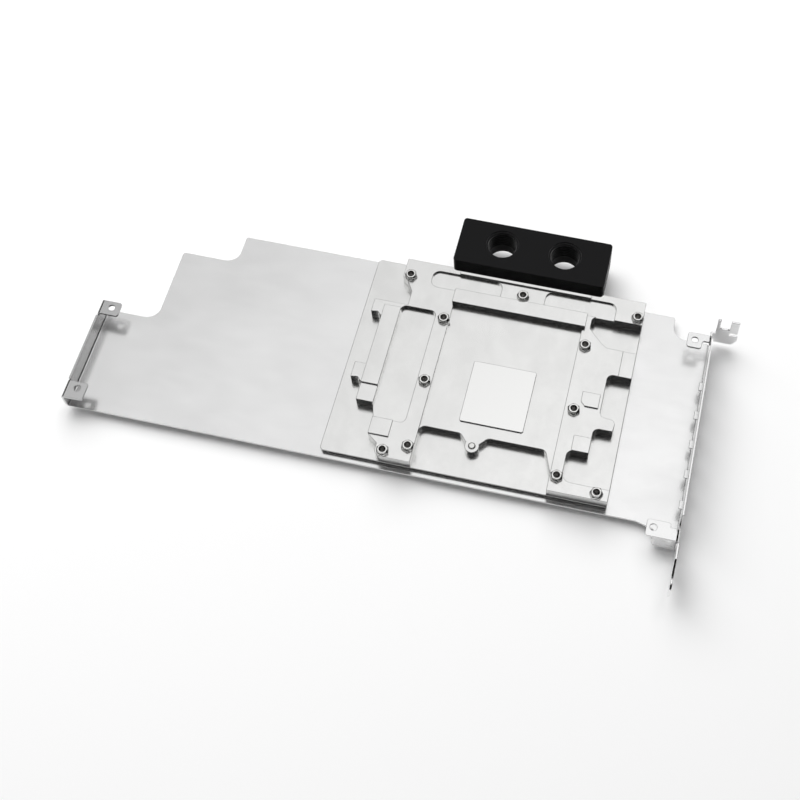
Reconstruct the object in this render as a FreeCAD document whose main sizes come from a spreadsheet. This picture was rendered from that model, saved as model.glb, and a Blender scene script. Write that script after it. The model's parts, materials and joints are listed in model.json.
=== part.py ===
import FreeCAD, Part
import Sketcher
import math
import os

# A single-slot water block for a graphics card, with its full-length cover sheet.
# Frame: the origin lies on the outer face of the cover sheet, under the middle of the graphics
# processor's hole pattern. +X points to the slot bracket, +Y to the hose connections, and +Z to the card.

SIZES = {
    # Stack of the block, upwards from the outer face of the cover sheet
    "sheet_wall": 1.0,
    "top_plate_wall": 2.29,
    "cold_plate_wall": 5.44,
    "central_drop": 1.48,
    "pedestal_rise": 0.75,
    # Plan of the block
    "block_left": -69.5,
    "block_right": 54.85,
    "block_front": -38.75,
    "block_back": 60.0,
    # Card hole pattern
    "gpu_spacing": 64.0,
    "outer_row": 51.0,
    "outer_left": -51.8,
    "outer_middle": 0.05,
    "outer_right": 52.3,
    "side_left": -32.75,
    "side_right": 33.1,
    "front_row": -36.15,
    "front_left": -41.9,
    "front_right": 49.65,
    # Left bar of the cold plate
    "bar_inner_left": -29.6,
    "boss_left": -45.4,
    "boss_radius": 3.0,
    "left_mid": -50.2,
    "left_outer": -59.6,
    "left_lobe": -64.8,
    "left_tail_y": -14.65,
    "left_shoulder": 36.15,
    "left_neck": -49.5,
    "left_horn": -55.3,
    "lobe_high_y": 29.95,
    "lobe_low_top": 3.15,
    "lobe_low_y": -3.95,
    "lobe_slope": 2.2,
    # Right bar of the cold plate
    "bar_inner_right": 29.0,
    "notch_back": 47.95,
    "notch_front": 33.35,
    "notch_gap": 2.2,
    "notch_width": 9.1,
    "bay_back": 20.5,
    "bay_left": 44.4,
    "bay_tip": 51.8,
    "bay_shelf": -0.65,
    "bay_step": -6.4,
    "bay_mid": 43.1,
    "bay_low": -18.7,
    "bay_inner": 34.1,
    "bay_front": -33.25,
    "bay_radius": 2.6,
    "bay_corner": 4.0,
    "ledge_x": 49.0,
    "ledge_depth": 0.15,
    # Middle of the cold plate
    "island_front": -20.2,
    "island_right": 25.0,
    "floor_radius": 2.6,
    "lobe_x": -5.9,
    "lobe_y": -25.05,
    "lobe_radius": 3.1,
    "central_back": 40.85,
    "pedestal_half": 14.0,
    "pedestal_front": -14.8,
    "pedestal_back": 15.0,
    "pedestal_radius": 1.0,
    # Rear bar of the cold plate
    "strip_rise": 2.1,
    "strip_half": 30.3,
    "strip_back": 47.95,
    "rib_rise": 1.0,
    "standoff_clearance": 1.2,
    "pocket_depth": 1.1,
    "pocket_back": 56.5,
    "pocket_outer": 42.2,
    "pocket_inner": 10.1,
    "pocket_radius": 3.4,
    # Recess and contact pads for the memory and the power stages
    "recess_depth": 2.1,
    "recess_back": 35.4,
    "recess_right": -36.1,
    "recess_front": -21.35,
    "recess_radius": 2.4,
    "pad_rise": 0.75,
    "long_pad_rise": 0.85,
    "long_pad_right": -51.9,
    "long_pad_back": 33.75,
    "long_pad_front": -6.4,
    "small_pad_right": -41.2,
    "small_pad_front": -29.4,
    "coil_pad_left": 35.3,
    "coil_pad_right": 43.2,
    "coil_pad_back": 9.7,
    "coil_pad_front": 2.8,
    "coil_pad_corner": 2.0,
    "low_pad_back": -11.4,
    "low_pad_rise": 0.4,
    # Waterways
    "channel_depth": 3.0,
    "channel_width": 12.0,
    "channel_end": 53.6,
    "slot_height": 1.8,
    "slot_width": 11.0,
    "slot_centre_z": 6.0,
    "fin_field_x": 12.3,
    "fin_field_y": 12.0,
    "fin_gap": 0.6,
    "fin_pitch": 1.2,
    "fin_gaps": 21,
    "manifold_y": 16.4,
    "jet_wall": 0.6,
    "jet_slot": 2.0,
    "jet_ledge": 1.5,
    "jet_play": 0.1,
    "plenum_depth": 0.8,
    "ring_half_x": 23.6,
    "ring_front": -17.4,
    "ring_back": 56.5,
    "ring_cord": 1.4,
    "ring_squeeze": 1.1,
    # Hose terminal
    "terminal_middle": 0.7,
    "terminal_half": 34.4,
    "terminal_front": 57.75,
    "terminal_back": 81.4,
    "terminal_low": 2.2,
    "terminal_high": 18.2,
    "terminal_corner": 1.5,
    "port_spacing": 28.8,
    "port_y": 70.6,
    "port_bore": 13.16,
    "port_rim": 14.8,
    "port_rim_depth": 0.6,
    "seal_cord": 1.1,
    "seal_squeeze": 0.8,
    "seal_corner": 1.4,
    "link_screw_offset": 26.0,
    "link_screw_depth": 3.2,
    # Standoffs and screws
    "hex_flats": 5.0,
    "hex_height": 1.4,
    "boss_width": 3.9,
    "boss_height": 1.0,
    "standoff_bore": 2.5,
    "standoff_bore_depth": 2.1,
    "stud_width": 3.0,
    "stud_length": 2.4,
    "thread_edge": 0.25,
    "screw_shank": 3.0,
    "screw_head": 5.6,
    "screw_head_depth": 1.3,
    "screw_length": 5.2,
    "cover_screw_shank": 2.5,
    "cover_screw_sink": 0.9,
    "cover_screw_length": 2.9,
    "drive_width": 2.0,
    "drive_depth": 0.7,
    "tip_rise": 0.5,
    # Cover sheet
    "sheet_front": -41.1,
    "sheet_back": 59.95,
    "sheet_shoulder": 45.5,
    "strip_edge": 8.6,
    "shoulder_x": -133.75,
    "step_x": -159.7,
    "fold_x": -183.4,
    "fold_inner": 0.5,
    "fold_high": 9.1,
    "tab_high": 9.55,
    "tab_length": 9.7,
    "tab_width": 6.9,
    "lower_tab_width": 8.3,
    "tab_bend": 0.4,
    "tab_relief": 0.8,
    "tab_bore": 3.0,
    "tab_bore_x": -177.7,
    "upper_bore_y": 5.4,
    "lower_bore_y": -36.0,
    "corner_small": 1.2,
    "corner_large": 6.0,
    "sheet_nose_x": 69.0,
    "sheet_tail_x": 67.5,
    "foot_x": 75.5,
    "foot_y": -50.0,
    "sheet_right_back": 49.3,
    # Slot bracket
    "bracket_x": 85.3,
    "bracket_wall": 1.0,
    "bracket_high": 18.42,
    "flange_y": 52.9,
    "blade_shoulder_y": -60.9,
    "tongue_y": -65.2,
    "tongue_tip_y": -72.6,
    "tongue_width": 10.19,
    "tongue_z": 9.2,
    "flange_reach": 11.5,
    "neck_low": 2.3,
    "neck_high": 6.8,
    "flange_root": 1.9,
    "slot_left": 3.3,
    "slot_right": 7.8,
    "slot_floor": 11.5,
    "bite_low": 7.0,
    "bite_high": 9.6,
    "bracket_tab_high": 9.55,
    "upper_tab_y": 45.4,
    "upper_tab_low": 41.5,
    "upper_tab_back": 49.0,
    "upper_neck": 45.5,
    "upper_tab_left": 75.5,
    "upper_gap": 36.3,
    "upper_tab_x": 78.85,
    "lower_tab_y": -45.7,
    "lower_tab_low": -49.8,
    "lower_tab_back": -42.3,
    "lower_neck": -44.4,
    "lower_tab_left": 72.2,
    "lower_gap_back": -41.9,
    "lower_gap_front": -53.9,
    "neck_x": 82.2,
    "lower_tab_x": 75.2,
    "port_hole_pitch": 14.12,
    "port_hole_first": 28.0,
    "port_hole_length": 8.0,
    "port_hole_low": 2.6,
    "port_hole_high": 7.4,
    "port_hole_count": 6,
    "finger_width": 4.0,
    "finger_reach": 1.3,
    "finger_wall": 0.5,
}

# Turn of each standoff's hexagon, as it happened to be tightened, and its place on the card.
STANDOFFS = [
    ("outer_left", "outer_row", 30.0),
    ("gpu_left", "gpu_back", 30.0),
    ("side_left", "zero", 18.0),
    ("front_left", "front_row", 20.0),
    ("gpu_left", "gpu_front", 0.0),
    ("outer_middle", "outer_row", 30.0),
    ("gpu_right", "gpu_back", 0.0),
    ("outer_right", "outer_row", 30.0),
    ("side_right", "zero", 28.0),
    ("gpu_right", "gpu_front", 0.0),
    ("front_right", "front_row", 15.0),
]

doc = FreeCAD.newDocument("WaterBlock")
sheet = doc.addObject("Spreadsheet::Sheet", "Sizes")
for row, (alias, amount) in enumerate(SIZES.items(), start=1):
    sheet.set(f"A{row}", alias)
    sheet.set(f"B{row}", str(amount))
    sheet.setAlias(f"B{row}", alias)
doc.recompute()


class Size:
    """A length taken from the sheet, or worked out from some: its formula and its present value."""

    def __init__(self, formula, amount):
        self.formula = formula
        self.amount = amount

    def __add__(self, other):
        other = as_size(other)
        return Size(f"({self.formula} + {other.formula})", self.amount + other.amount)

    def __sub__(self, other):
        other = as_size(other)
        return Size(f"({self.formula} - {other.formula})", self.amount - other.amount)

    def __mul__(self, factor):
        factor = as_size(factor)
        return Size(f"({self.formula} * {factor.formula})", self.amount * factor.amount)

    def __neg__(self):
        return self * -1


def as_size(item):
    if isinstance(item, Size):
        return item
    return Size(f"{item:.6f}" if item >= 0 else f"(0 - {-item:.6f})", float(item))


class Sizes:
    """Every named size of the sheet, read back from its cells."""


s = Sizes()
for alias in SIZES:
    setattr(s, alias, Size("Sizes." + alias, float(sheet.get(alias))))

s.zero = s.gpu_spacing * 0
s.gpu_right = s.gpu_spacing * 0.5
s.gpu_left = -s.gpu_right
s.gpu_back = s.gpu_right
s.gpu_front = s.gpu_left
s.cold_low = s.sheet_wall + s.top_plate_wall
s.cold_high = s.cold_low + s.cold_plate_wall
s.central_high = s.cold_high - s.central_drop
s.pedestal_high = s.central_high + s.pedestal_rise
s.channel_high = s.cold_low + s.channel_depth
s.notch_left = s.strip_half + s.notch_gap
s.notch_knee = s.notch_left + s.notch_width


def bind(item, prop, size):
    item.setExpression(prop, as_size(size).formula)


def new_body(label):
    body = doc.addObject("PartDesign::Body", label)
    body.Label = label
    return body


def origin_plane(body, role):
    return next(item for item in body.Origin.OriginFeatures if item.Role == role)


def new_sketch(body, name, lift=0, role="XY_Plane"):
    """An empty sketch parallel to one of the body's own planes, at a height above it."""
    drawing = body.newObject("Sketcher::SketchObject", name)
    drawing.AttachmentSupport = [(origin_plane(body, role), "")]
    drawing.MapMode = "FlatFace"
    bind(drawing, "AttachmentOffset.Base.z", lift)
    return drawing


def fix_point(drawing, geometry, end, spot):
    """Ties one end of a line, or a circle's centre, to a place measured from the sketch's origin."""
    for kind, size in zip(("DistanceX", "DistanceY"), spot):
        size = as_size(size)
        rule = drawing.addConstraint(Sketcher.Constraint(kind, -1, 1, geometry, end, size.amount))
        bind(drawing, f"Constraints[{rule}]", size)


def add_loop(drawing, corners):
    """A closed outline of straight lines through the corners."""
    spots = [FreeCAD.Vector(as_size(x).amount, as_size(y).amount, 0) for x, y in corners]
    first = drawing.GeometryCount
    count = len(spots)
    for index in range(count):
        drawing.addGeometry(Part.LineSegment(spots[index], spots[(index + 1) % count]), False)
    for index in range(count):
        following = first + (index + 1) % count
        drawing.addConstraint(Sketcher.Constraint("Coincident", first + index, 2, following, 1))
        fix_point(drawing, first + index, 1, corners[index])


def add_circle(drawing, centre, radius):
    spot = FreeCAD.Vector(as_size(centre[0]).amount, as_size(centre[1]).amount, 0)
    radius = as_size(radius)
    index = drawing.addGeometry(Part.Circle(spot, FreeCAD.Vector(0, 0, 1), radius.amount), False)
    fix_point(drawing, index, 3, centre)
    rule = drawing.addConstraint(Sketcher.Constraint("Radius", index, radius.amount))
    bind(drawing, f"Constraints[{rule}]", radius)


def rectangle(left, right, low, high):
    return [(left, low), (right, low), (right, high), (left, high)]


def volume_of(body):
    return body.Shape.Volume if body.Tip else 0.0


def extrude(body, kind, name, length, lift, role, backwards, loops, circles):
    """A pad or a pocket of one sketch, which has to change the body's volume the right way."""
    before = volume_of(body)
    drawing = new_sketch(body, name + "Sketch", lift, role)
    for corners in loops:
        add_loop(drawing, corners)
    for centre, radius in circles:
        add_circle(drawing, centre, radius)
    feature = body.newObject("PartDesign::" + kind, name)
    feature.Profile = drawing
    feature.Reversed = backwards
    bind(feature, "Length", length)
    doc.recompute()
    change = volume_of(body) - before
    if (kind == "Pad") != (change > 0) or abs(change) < 1e-6:
        raise RuntimeError(f"{body.Label} {name} changed the volume by {change}")
    return feature


def pad(body, name, length, lift=0, role="XY_Plane", backwards=False, loops=(), circles=()):
    return extrude(body, "Pad", name, length, lift, role, backwards, loops, circles)


def pocket(body, name, length, lift=0, role="XY_Plane", backwards=False, loops=(), circles=()):
    return extrude(body, "Pocket", name, length, lift, role, backwards, loops, circles)


def edges_at(shape, spots, axis=2, low=None, high=None):
    """Names of the straight edges along one axis that pass through the given places."""
    others = [item for item in range(3) if item != axis]
    names = []
    for number, edge in enumerate(shape.Edges, start=1):
        if len(edge.Vertexes) != 2:
            continue
        start, end = edge.Vertexes[0].Point, edge.Vertexes[1].Point
        if abs(abs((end - start)[axis]) - (end - start).Length) > 1e-6:
            continue
        middle = (start[axis] + end[axis]) / 2
        if (low is not None and middle < low) or (high is not None and middle > high):
            continue
        for spot in spots:
            place = [as_size(item).amount for item in spot]
            if all(abs(start[other] - value) < 0.01 for other, value in zip(others, place)):
                names.append(f"Edge{number}")
                break
    return names


def dress(body, kind, name, names, amount, prop):
    if not names:
        raise RuntimeError(f"{body.Label} {name} has no edge")
    feature = body.newObject("PartDesign::" + kind, name)
    feature.Base = (body.Tip if body.Tip != feature else feature.BaseFeature, names)
    bind(feature, prop, amount)
    doc.recompute()
    return feature


def fillet(body, name, names, radius):
    return dress(body, "Fillet", name, names, radius, "Radius")


def chamfer(body, name, names, width):
    return dress(body, "Chamfer", name, names, width, "Size")


def round_corners(body, name, spots, radius, axis=2, low=None, high=None):
    return fillet(body, name, edges_at(body.Shape, spots, axis, low, high), radius)


def circle_edges(shape, centre, radius, height):
    """Names of the round edges that lie at one height about a centre."""
    spot = FreeCAD.Vector(*[as_size(item).amount for item in (*centre, height)])
    names = []
    for number, edge in enumerate(shape.Edges, start=1):
        curve = edge.Curve
        if isinstance(curve, Part.Circle) and (curve.Center - spot).Length < 0.01:
            if abs(curve.Radius - as_size(radius).amount) < 0.01:
                names.append(f"Edge{number}")
    return names


def make_cold_plate():
    """Machined copper plate: bars, pockets and pads towards the card, waterways towards the cover."""
    body = new_body("cold_plate")
    lobe_in = s.left_outer - s.lobe_slope
    outline = [
        (s.bar_inner_left, s.block_front),
        (s.boss_left, s.block_front),
        (s.boss_left, s.small_pad_front - 3.6),
        (s.left_mid, s.small_pad_front),
        (s.left_mid, s.recess_front),
        (s.left_mid - 2.0, s.left_tail_y),
        (s.left_outer, s.left_tail_y),
        (s.left_outer, s.lobe_low_y - s.lobe_slope),
        (lobe_in, s.lobe_low_y),
        (s.left_lobe, s.lobe_low_y - 0.5),
        (s.left_lobe, s.lobe_low_top),
        (s.left_outer, s.lobe_low_top),
        (s.left_outer, s.lobe_high_y - s.lobe_slope),
        (lobe_in, s.lobe_high_y),
        (s.left_lobe, s.lobe_high_y - 0.5),
        (s.left_lobe, s.left_shoulder),
        (s.left_neck, s.left_shoulder),
        (s.left_neck, s.outer_row - 7.8),
        (s.left_neck - 3.4, s.outer_row - 2.2),
        (s.left_horn, s.outer_row - 0.8),
        (s.left_horn, s.block_back),
        (s.block_right, s.block_back),
        (s.block_right, s.block_front),
        (s.bar_inner_right, s.block_front),
        (s.bar_inner_right, s.island_front - 10.4),
        (s.island_right, s.island_front),
        (s.lobe_x + 6.0, s.island_front),
        (s.lobe_x + 2.8, s.lobe_y + 1.2),
        (s.lobe_x - 2.8, s.lobe_y + 1.2),
        (s.lobe_x - 6.0, s.island_front),
        (s.bar_inner_left, s.island_front),
    ]
    pad(body, "Plate", s.cold_plate_wall, s.cold_low, loops=[outline])
    pad(body, "PinLobe", s.cold_plate_wall, s.cold_low, circles=[((s.lobe_x, s.lobe_y), s.lobe_radius)])
    round_corners(body, "BossRound", [(s.boss_left, s.block_front)], s.boss_radius)
    soft = [(s.island_right, s.island_front), (s.bar_inner_left, s.island_front)]
    soft += [(s.lobe_x + 6.0, s.island_front), (s.lobe_x - 6.0, s.island_front)]
    round_corners(body, "IslandRound", soft, s.floor_radius)
    round_corners(body, "NeckRound", [(s.left_neck - 3.4, s.outer_row - 2.2)], 3.0)

    notch = [
        (s.block_right + 1, s.notch_back), (s.notch_left, s.notch_back),
        (s.notch_left, s.notch_back - 6.4), (s.notch_knee - 3.0, s.notch_front + 2.0),
        (s.notch_knee, s.notch_front), (s.block_right + 1, s.notch_front),
    ]
    pocket(body, "Notch", s.cold_plate_wall, s.cold_high, loops=[notch])
    round_corners(body, "NotchRound", [(s.notch_left, s.notch_back)], s.bay_radius)
    bay = [
        (s.block_right + 1, s.bay_back), (s.bay_left, s.bay_back),
        (s.bay_left, s.bay_shelf), (s.bay_tip, s.bay_shelf),
        (s.bay_tip - 0.6, s.bay_step), (s.bay_mid, s.bay_step),
        (s.bay_mid, s.bay_low), (s.bay_inner, s.bay_low),
        (s.bay_inner, s.bay_front), (s.block_right + 1, s.bay_front),
    ]
    pocket(body, "Bay", s.cold_plate_wall, s.cold_high, loops=[bay])
    turns = [(s.bay_left, s.bay_back), (s.bay_left, s.bay_shelf), (s.bay_mid, s.bay_step)]
    turns += [(s.bay_inner, s.bay_low), (s.bay_tip, s.bay_shelf)]
    round_corners(body, "BayRound", turns, s.bay_radius)
    round_corners(body, "BayCorner", [(s.bay_inner, s.bay_front)], s.bay_corner)
    ledge = rectangle(s.ledge_x, s.block_right + 1, s.bay_back, s.notch_front)
    pocket(body, "Ledge", s.ledge_depth, s.cold_high, loops=[ledge])

    central = rectangle(s.bar_inner_left, s.bar_inner_right, s.block_front - 1, s.central_back)
    pocket(body, "Central", s.central_drop, s.cold_high, loops=[central])
    pedestal = rectangle(-s.pedestal_half, s.pedestal_half, s.pedestal_front, s.pedestal_back)
    pad(body, "Pedestal", s.pedestal_rise, s.central_high, loops=[pedestal])
    round_corners(body, "PedestalRound", pedestal, s.pedestal_radius)

    strip = rectangle(-s.strip_half, s.strip_half, s.central_back, s.strip_back)
    pad(body, "Strip", s.strip_rise, s.cold_high, loops=[strip])
    well = [((s.outer_middle, s.outer_row), s.hex_flats * 0.5 + s.standoff_clearance)]
    pocket(body, "StandoffWell", s.strip_rise, s.cold_high + s.strip_rise, circles=well)
    rib = rectangle(-s.strip_half, s.strip_half, s.pocket_back, s.block_back)
    pad(body, "Rib", s.rib_rise, s.cold_high, loops=[rib])
    left_pocket = rectangle(-s.pocket_outer, -s.pocket_inner, s.strip_back, s.pocket_back)
    pocket(body, "LeftPocket", s.pocket_depth, s.cold_high, loops=[left_pocket])
    ends = [(-s.pocket_outer, s.strip_back), (-s.pocket_outer, s.pocket_back)]
    ends += [(-s.pocket_inner, s.pocket_back)]
    round_corners(body, "LeftPocketRound", ends, s.pocket_radius, low=s.cold_high.amount - 1.2)
    right_pocket = [
        (s.pocket_inner, s.strip_back), (s.notch_left + 1.5, s.strip_back),
        (s.notch_left + 1.5, s.notch_back - 1), (s.pocket_outer, s.notch_back - 1),
        (s.pocket_outer, s.pocket_back), (s.pocket_inner, s.pocket_back),
    ]
    pocket(body, "RightPocket", s.pocket_depth, s.cold_high, loops=[right_pocket])
    ends = [(s.pocket_outer, s.pocket_back), (s.pocket_inner, s.pocket_back)]
    round_corners(body, "RightPocketRound", ends, s.pocket_radius, low=s.cold_high.amount - 1.2)

    recess = rectangle(s.long_pad_right, s.recess_right, s.recess_front, s.recess_back)
    pocket(body, "Recess", s.recess_depth, s.cold_high, loops=[recess])
    turns = [(s.recess_right, s.recess_front), (s.recess_right, s.recess_back)]
    turns += [(s.long_pad_right, s.recess_back)]
    round_corners(body, "RecessRound", turns, s.recess_radius, low=s.cold_high.amount - 2.2)
    long_pad = rectangle(s.left_outer, s.long_pad_right, s.long_pad_front, s.long_pad_back)
    pad(body, "LongPad", s.long_pad_rise, s.cold_high, loops=[long_pad])
    small_pad = rectangle(s.left_mid, s.small_pad_right, s.small_pad_front, s.recess_front)
    pad(body, "SmallPad", s.pad_rise, s.cold_high, loops=[small_pad])
    coil_pad = rectangle(s.coil_pad_left, s.coil_pad_right, s.coil_pad_front, s.coil_pad_back)
    pad(body, "CoilPad", s.pad_rise, s.cold_high, loops=[coil_pad])
    low_pad = rectangle(s.coil_pad_left + 0.2, s.bay_mid, s.bay_low, s.low_pad_back)
    pad(body, "LowPad", s.low_pad_rise, s.cold_high, loops=[low_pad])
    corner = [(s.coil_pad_left, s.coil_pad_front)]
    chamfer(body, "CoilPadCorner", edges_at(body.Shape, corner), s.coil_pad_corner)

    make_waterways(body)
    studs = [((getattr(s, x), getattr(s, y)), s.stud_width * 0.5) for x, y, turn in STANDOFFS]
    pocket(body, "StudHoles", s.stud_length, s.cold_high, circles=studs)
    screws = [(spot, s.screw_shank * 0.5) for spot in block_screw_spots()]
    pocket(body, "ScrewHoles", s.screw_length - s.top_plate_wall, s.cold_low, backwards=True, circles=screws)
    pin = [((s.lobe_x, s.lobe_y), s.screw_shank * 0.5)]
    pocket(body, "PinHole", s.central_high - s.cold_low, s.central_high, circles=pin)
    links = [((x, s.slot_centre_z), s.screw_shank * 0.5) for x in link_screw_places()]
    reach = s.link_screw_depth
    pocket(body, "LinkHoles", reach, -s.block_back, "XZ_Plane", backwards=True, circles=links)
    return body


def port_places():
    return [s.terminal_middle - s.port_spacing * 0.5, s.terminal_middle + s.port_spacing * 0.5]


def link_screw_places():
    offset = s.link_screw_offset
    return [s.terminal_middle - offset, s.terminal_middle, s.terminal_middle + offset]


def block_screw_spots():
    """Screws around the main seal ring, kept clear of the standoffs."""
    beyond = s.ring_cord + s.screw_shank * 0.5 + 0.6
    left, right = -s.ring_half_x - beyond, s.ring_half_x + beyond
    return [
        (left, s.pedestal_back + 8), (right, s.pedestal_back + 8),
        (left, s.pedestal_front + 1), (right, s.pedestal_front + 1),
        (left - 8, s.block_back - 4.5), (right + 8, s.block_back - 4.5),
    ]


def make_waterways(body):
    """Inlet and outlet channels, the fin field between them, and the slots to the hose terminal."""
    inlet, outlet = port_places()
    half = s.channel_width * 0.5
    feed_low = s.fin_field_y + 9.0
    feed = rectangle(inlet - half, inlet + half, feed_low, s.channel_end)
    pocket(body, "InletChannel", s.channel_depth, s.cold_low, backwards=True, loops=[feed])
    wall = s.fin_field_x + 6.2
    drain = [
        (-s.fin_field_x, -s.manifold_y + 1.6), (wall, -s.manifold_y + 1.6),
        (wall, s.channel_end), (outlet - half, s.channel_end), (outlet - half, s.manifold_y),
        (-s.fin_field_x, s.manifold_y), (-s.fin_field_x, s.fin_field_y),
        (s.fin_field_x, s.fin_field_y), (s.fin_field_x, -s.fin_field_y), (-s.fin_field_x, -s.fin_field_y),
    ]
    pocket(body, "OutletChannel", s.channel_depth, s.cold_low, backwards=True, loops=[drain])
    gap = s.fin_gap * 0.5
    first = s.fin_pitch * (s.fin_gaps - 1) * -0.5
    lane = rectangle(first - gap, first + gap, -s.fin_field_y, s.fin_field_y)
    cut = pocket(body, "FinGap", s.channel_depth, s.cold_low, backwards=True, loops=[lane])
    row = body.newObject("PartDesign::LinearPattern", "FinGaps")
    row.Originals = [cut]
    row.Direction = (cut.Profile[0], ["H_Axis"])
    bind(row, "Length", s.fin_pitch * (s.fin_gaps - 1))
    bind(row, "Occurrences", s.fin_gaps)
    body.Tip = row
    doc.recompute()
    high = s.slot_centre_z + s.slot_height * 0.5
    low = s.slot_centre_z - s.slot_height * 0.5
    for name, place in (("InletSlot", inlet), ("OutletSlot", outlet)):
        mouth = rectangle(place - s.slot_width * 0.5, place + s.slot_width * 0.5, low, high)
        reach = s.block_back - s.channel_end + 1
        pocket(body, name, reach, -s.block_back, "XZ_Plane", backwards=True, loops=[mouth])


def make_block_top():
    """Brass plate that closes the waterways and carries the cold plate and the cover sheet."""
    body = new_body("block_top")
    inlet, outlet = port_places()
    outline = rectangle(s.block_left, s.block_right, s.block_front, s.block_back)
    pad(body, "Plate", s.top_plate_wall, s.sheet_wall, loops=[outline])
    corners = [(s.block_left, s.block_front), (s.block_left, s.block_back)]
    chamfer(body, "Corners", edges_at(body.Shape, corners), s.corner_small)
    reach = s.fin_field_x + s.jet_ledge
    seat = rectangle(-reach - s.jet_play, reach + s.jet_play, -s.fin_field_y - s.jet_play, jet_back() + s.jet_play)
    pocket(body, "JetSeat", s.jet_wall, s.cold_low, loops=[seat])
    plenum = [
        (-s.fin_field_x, -s.fin_field_y + s.jet_ledge), (s.fin_field_x, -s.fin_field_y + s.jet_ledge),
        (s.fin_field_x, s.fin_field_y - s.jet_ledge), (inlet + s.channel_width * 0.5, s.fin_field_y - s.jet_ledge),
        (inlet + s.channel_width * 0.5, s.channel_end - 8), (-s.fin_field_x - 7.0, s.channel_end - 8),
        (-s.fin_field_x - 7.0, jet_back() + 1.5), (-s.fin_field_x, jet_back() + 1.5),
    ]
    pocket(body, "Plenum", s.jet_wall + s.plenum_depth, s.cold_low, loops=[plenum])
    pocket(body, "SealGroove", s.ring_squeeze, s.cold_low, loops=ring_loops())
    screws = [(spot, s.screw_shank * 0.5) for spot in block_screw_spots()]
    pocket(body, "ScrewHoles", s.top_plate_wall, s.cold_low, circles=screws)
    heads = [(spot, s.screw_head * 0.5) for spot in block_screw_spots()]
    pocket(body, "ScrewHeads", s.screw_head_depth, s.sheet_wall, backwards=True, circles=heads)
    taps = [(spot, s.cover_screw_shank * 0.5) for spot in cover_screw_spots()]
    pocket(body, "CoverTaps", s.cover_screw_length - s.sheet_wall, s.sheet_wall, backwards=True, circles=taps)
    pin = [((s.lobe_x, s.lobe_y), s.screw_shank * 0.5)]
    pocket(body, "PinHole", s.top_plate_wall, s.cold_low, circles=pin)
    pin = [((s.lobe_x, s.lobe_y), s.screw_head * 0.5)]
    pocket(body, "PinHead", s.screw_head_depth, s.sheet_wall, backwards=True, circles=pin)
    return body


def jet_back():
    return s.manifold_y + 2.0


def ring_loops():
    """The seal ring's track: an outer and an inner outline."""
    half = s.ring_cord * 0.5
    loops = []
    for step in (half, -half):
        reach = s.ring_half_x + step
        loops.append(rectangle(-reach, reach, s.ring_front - step, s.ring_back + step))
    return loops


def cover_screw_spots():
    left, right = s.block_left + 5.0, s.block_right - 5.0
    middle = (s.block_front + s.block_back) * 0.5
    rows = (s.block_front + 5.0, middle, s.block_back - 9.0)
    return [(column, row) for column in (left, right) for row in rows]


def make_jet_plate():
    """Thin steel plate with one slot, which sends the water into the middle of the fins."""
    body = new_body("jet_plate")
    reach = s.fin_field_x + s.jet_ledge
    outline = rectangle(-reach, reach, -s.fin_field_y, jet_back())
    half = s.jet_slot * 0.5
    slot = rectangle(-s.fin_field_x, s.fin_field_x, -half, half)
    pad(body, "Plate", s.jet_wall, s.cold_low - s.jet_wall, loops=[outline, slot])
    return body


def make_main_seal():
    """Square-seated rubber ring between the brass plate and the cold plate."""
    body = new_body("main_seal")
    pad(body, "Ring", s.ring_squeeze, s.cold_low - s.ring_squeeze, loops=ring_loops())
    return body


def seal_loops(place):
    """Outer and inner outline of one port seal, seen along Y."""
    half_x = s.slot_width * 0.5 + 0.2
    half_z = s.slot_height * 0.5 + 0.2
    loops = []
    for step in (s.seal_cord, s.zero):
        low, high = s.slot_centre_z - half_z - step, s.slot_centre_z + half_z + step
        loops.append(rectangle(place - half_x - step, place + half_x + step, low, high))
    return loops


def make_port_seal(label, place):
    """Rubber ring round one water slot, squeezed between the terminal and the block's back edge."""
    body = new_body(label)
    start = -s.block_back - s.seal_squeeze
    pad(body, "Ring", s.seal_squeeze, start, "XZ_Plane", loops=seal_loops(place))
    half_x = s.slot_width * 0.5 + 0.2 + s.seal_cord
    half_z = s.slot_height * 0.5 + 0.2 + s.seal_cord
    turns = [(place + x, s.slot_centre_z + z) for x in (half_x, -half_x) for z in (half_z, -half_z)]
    round_corners(body, "Round", turns, s.seal_corner, axis=1)
    return body


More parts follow.
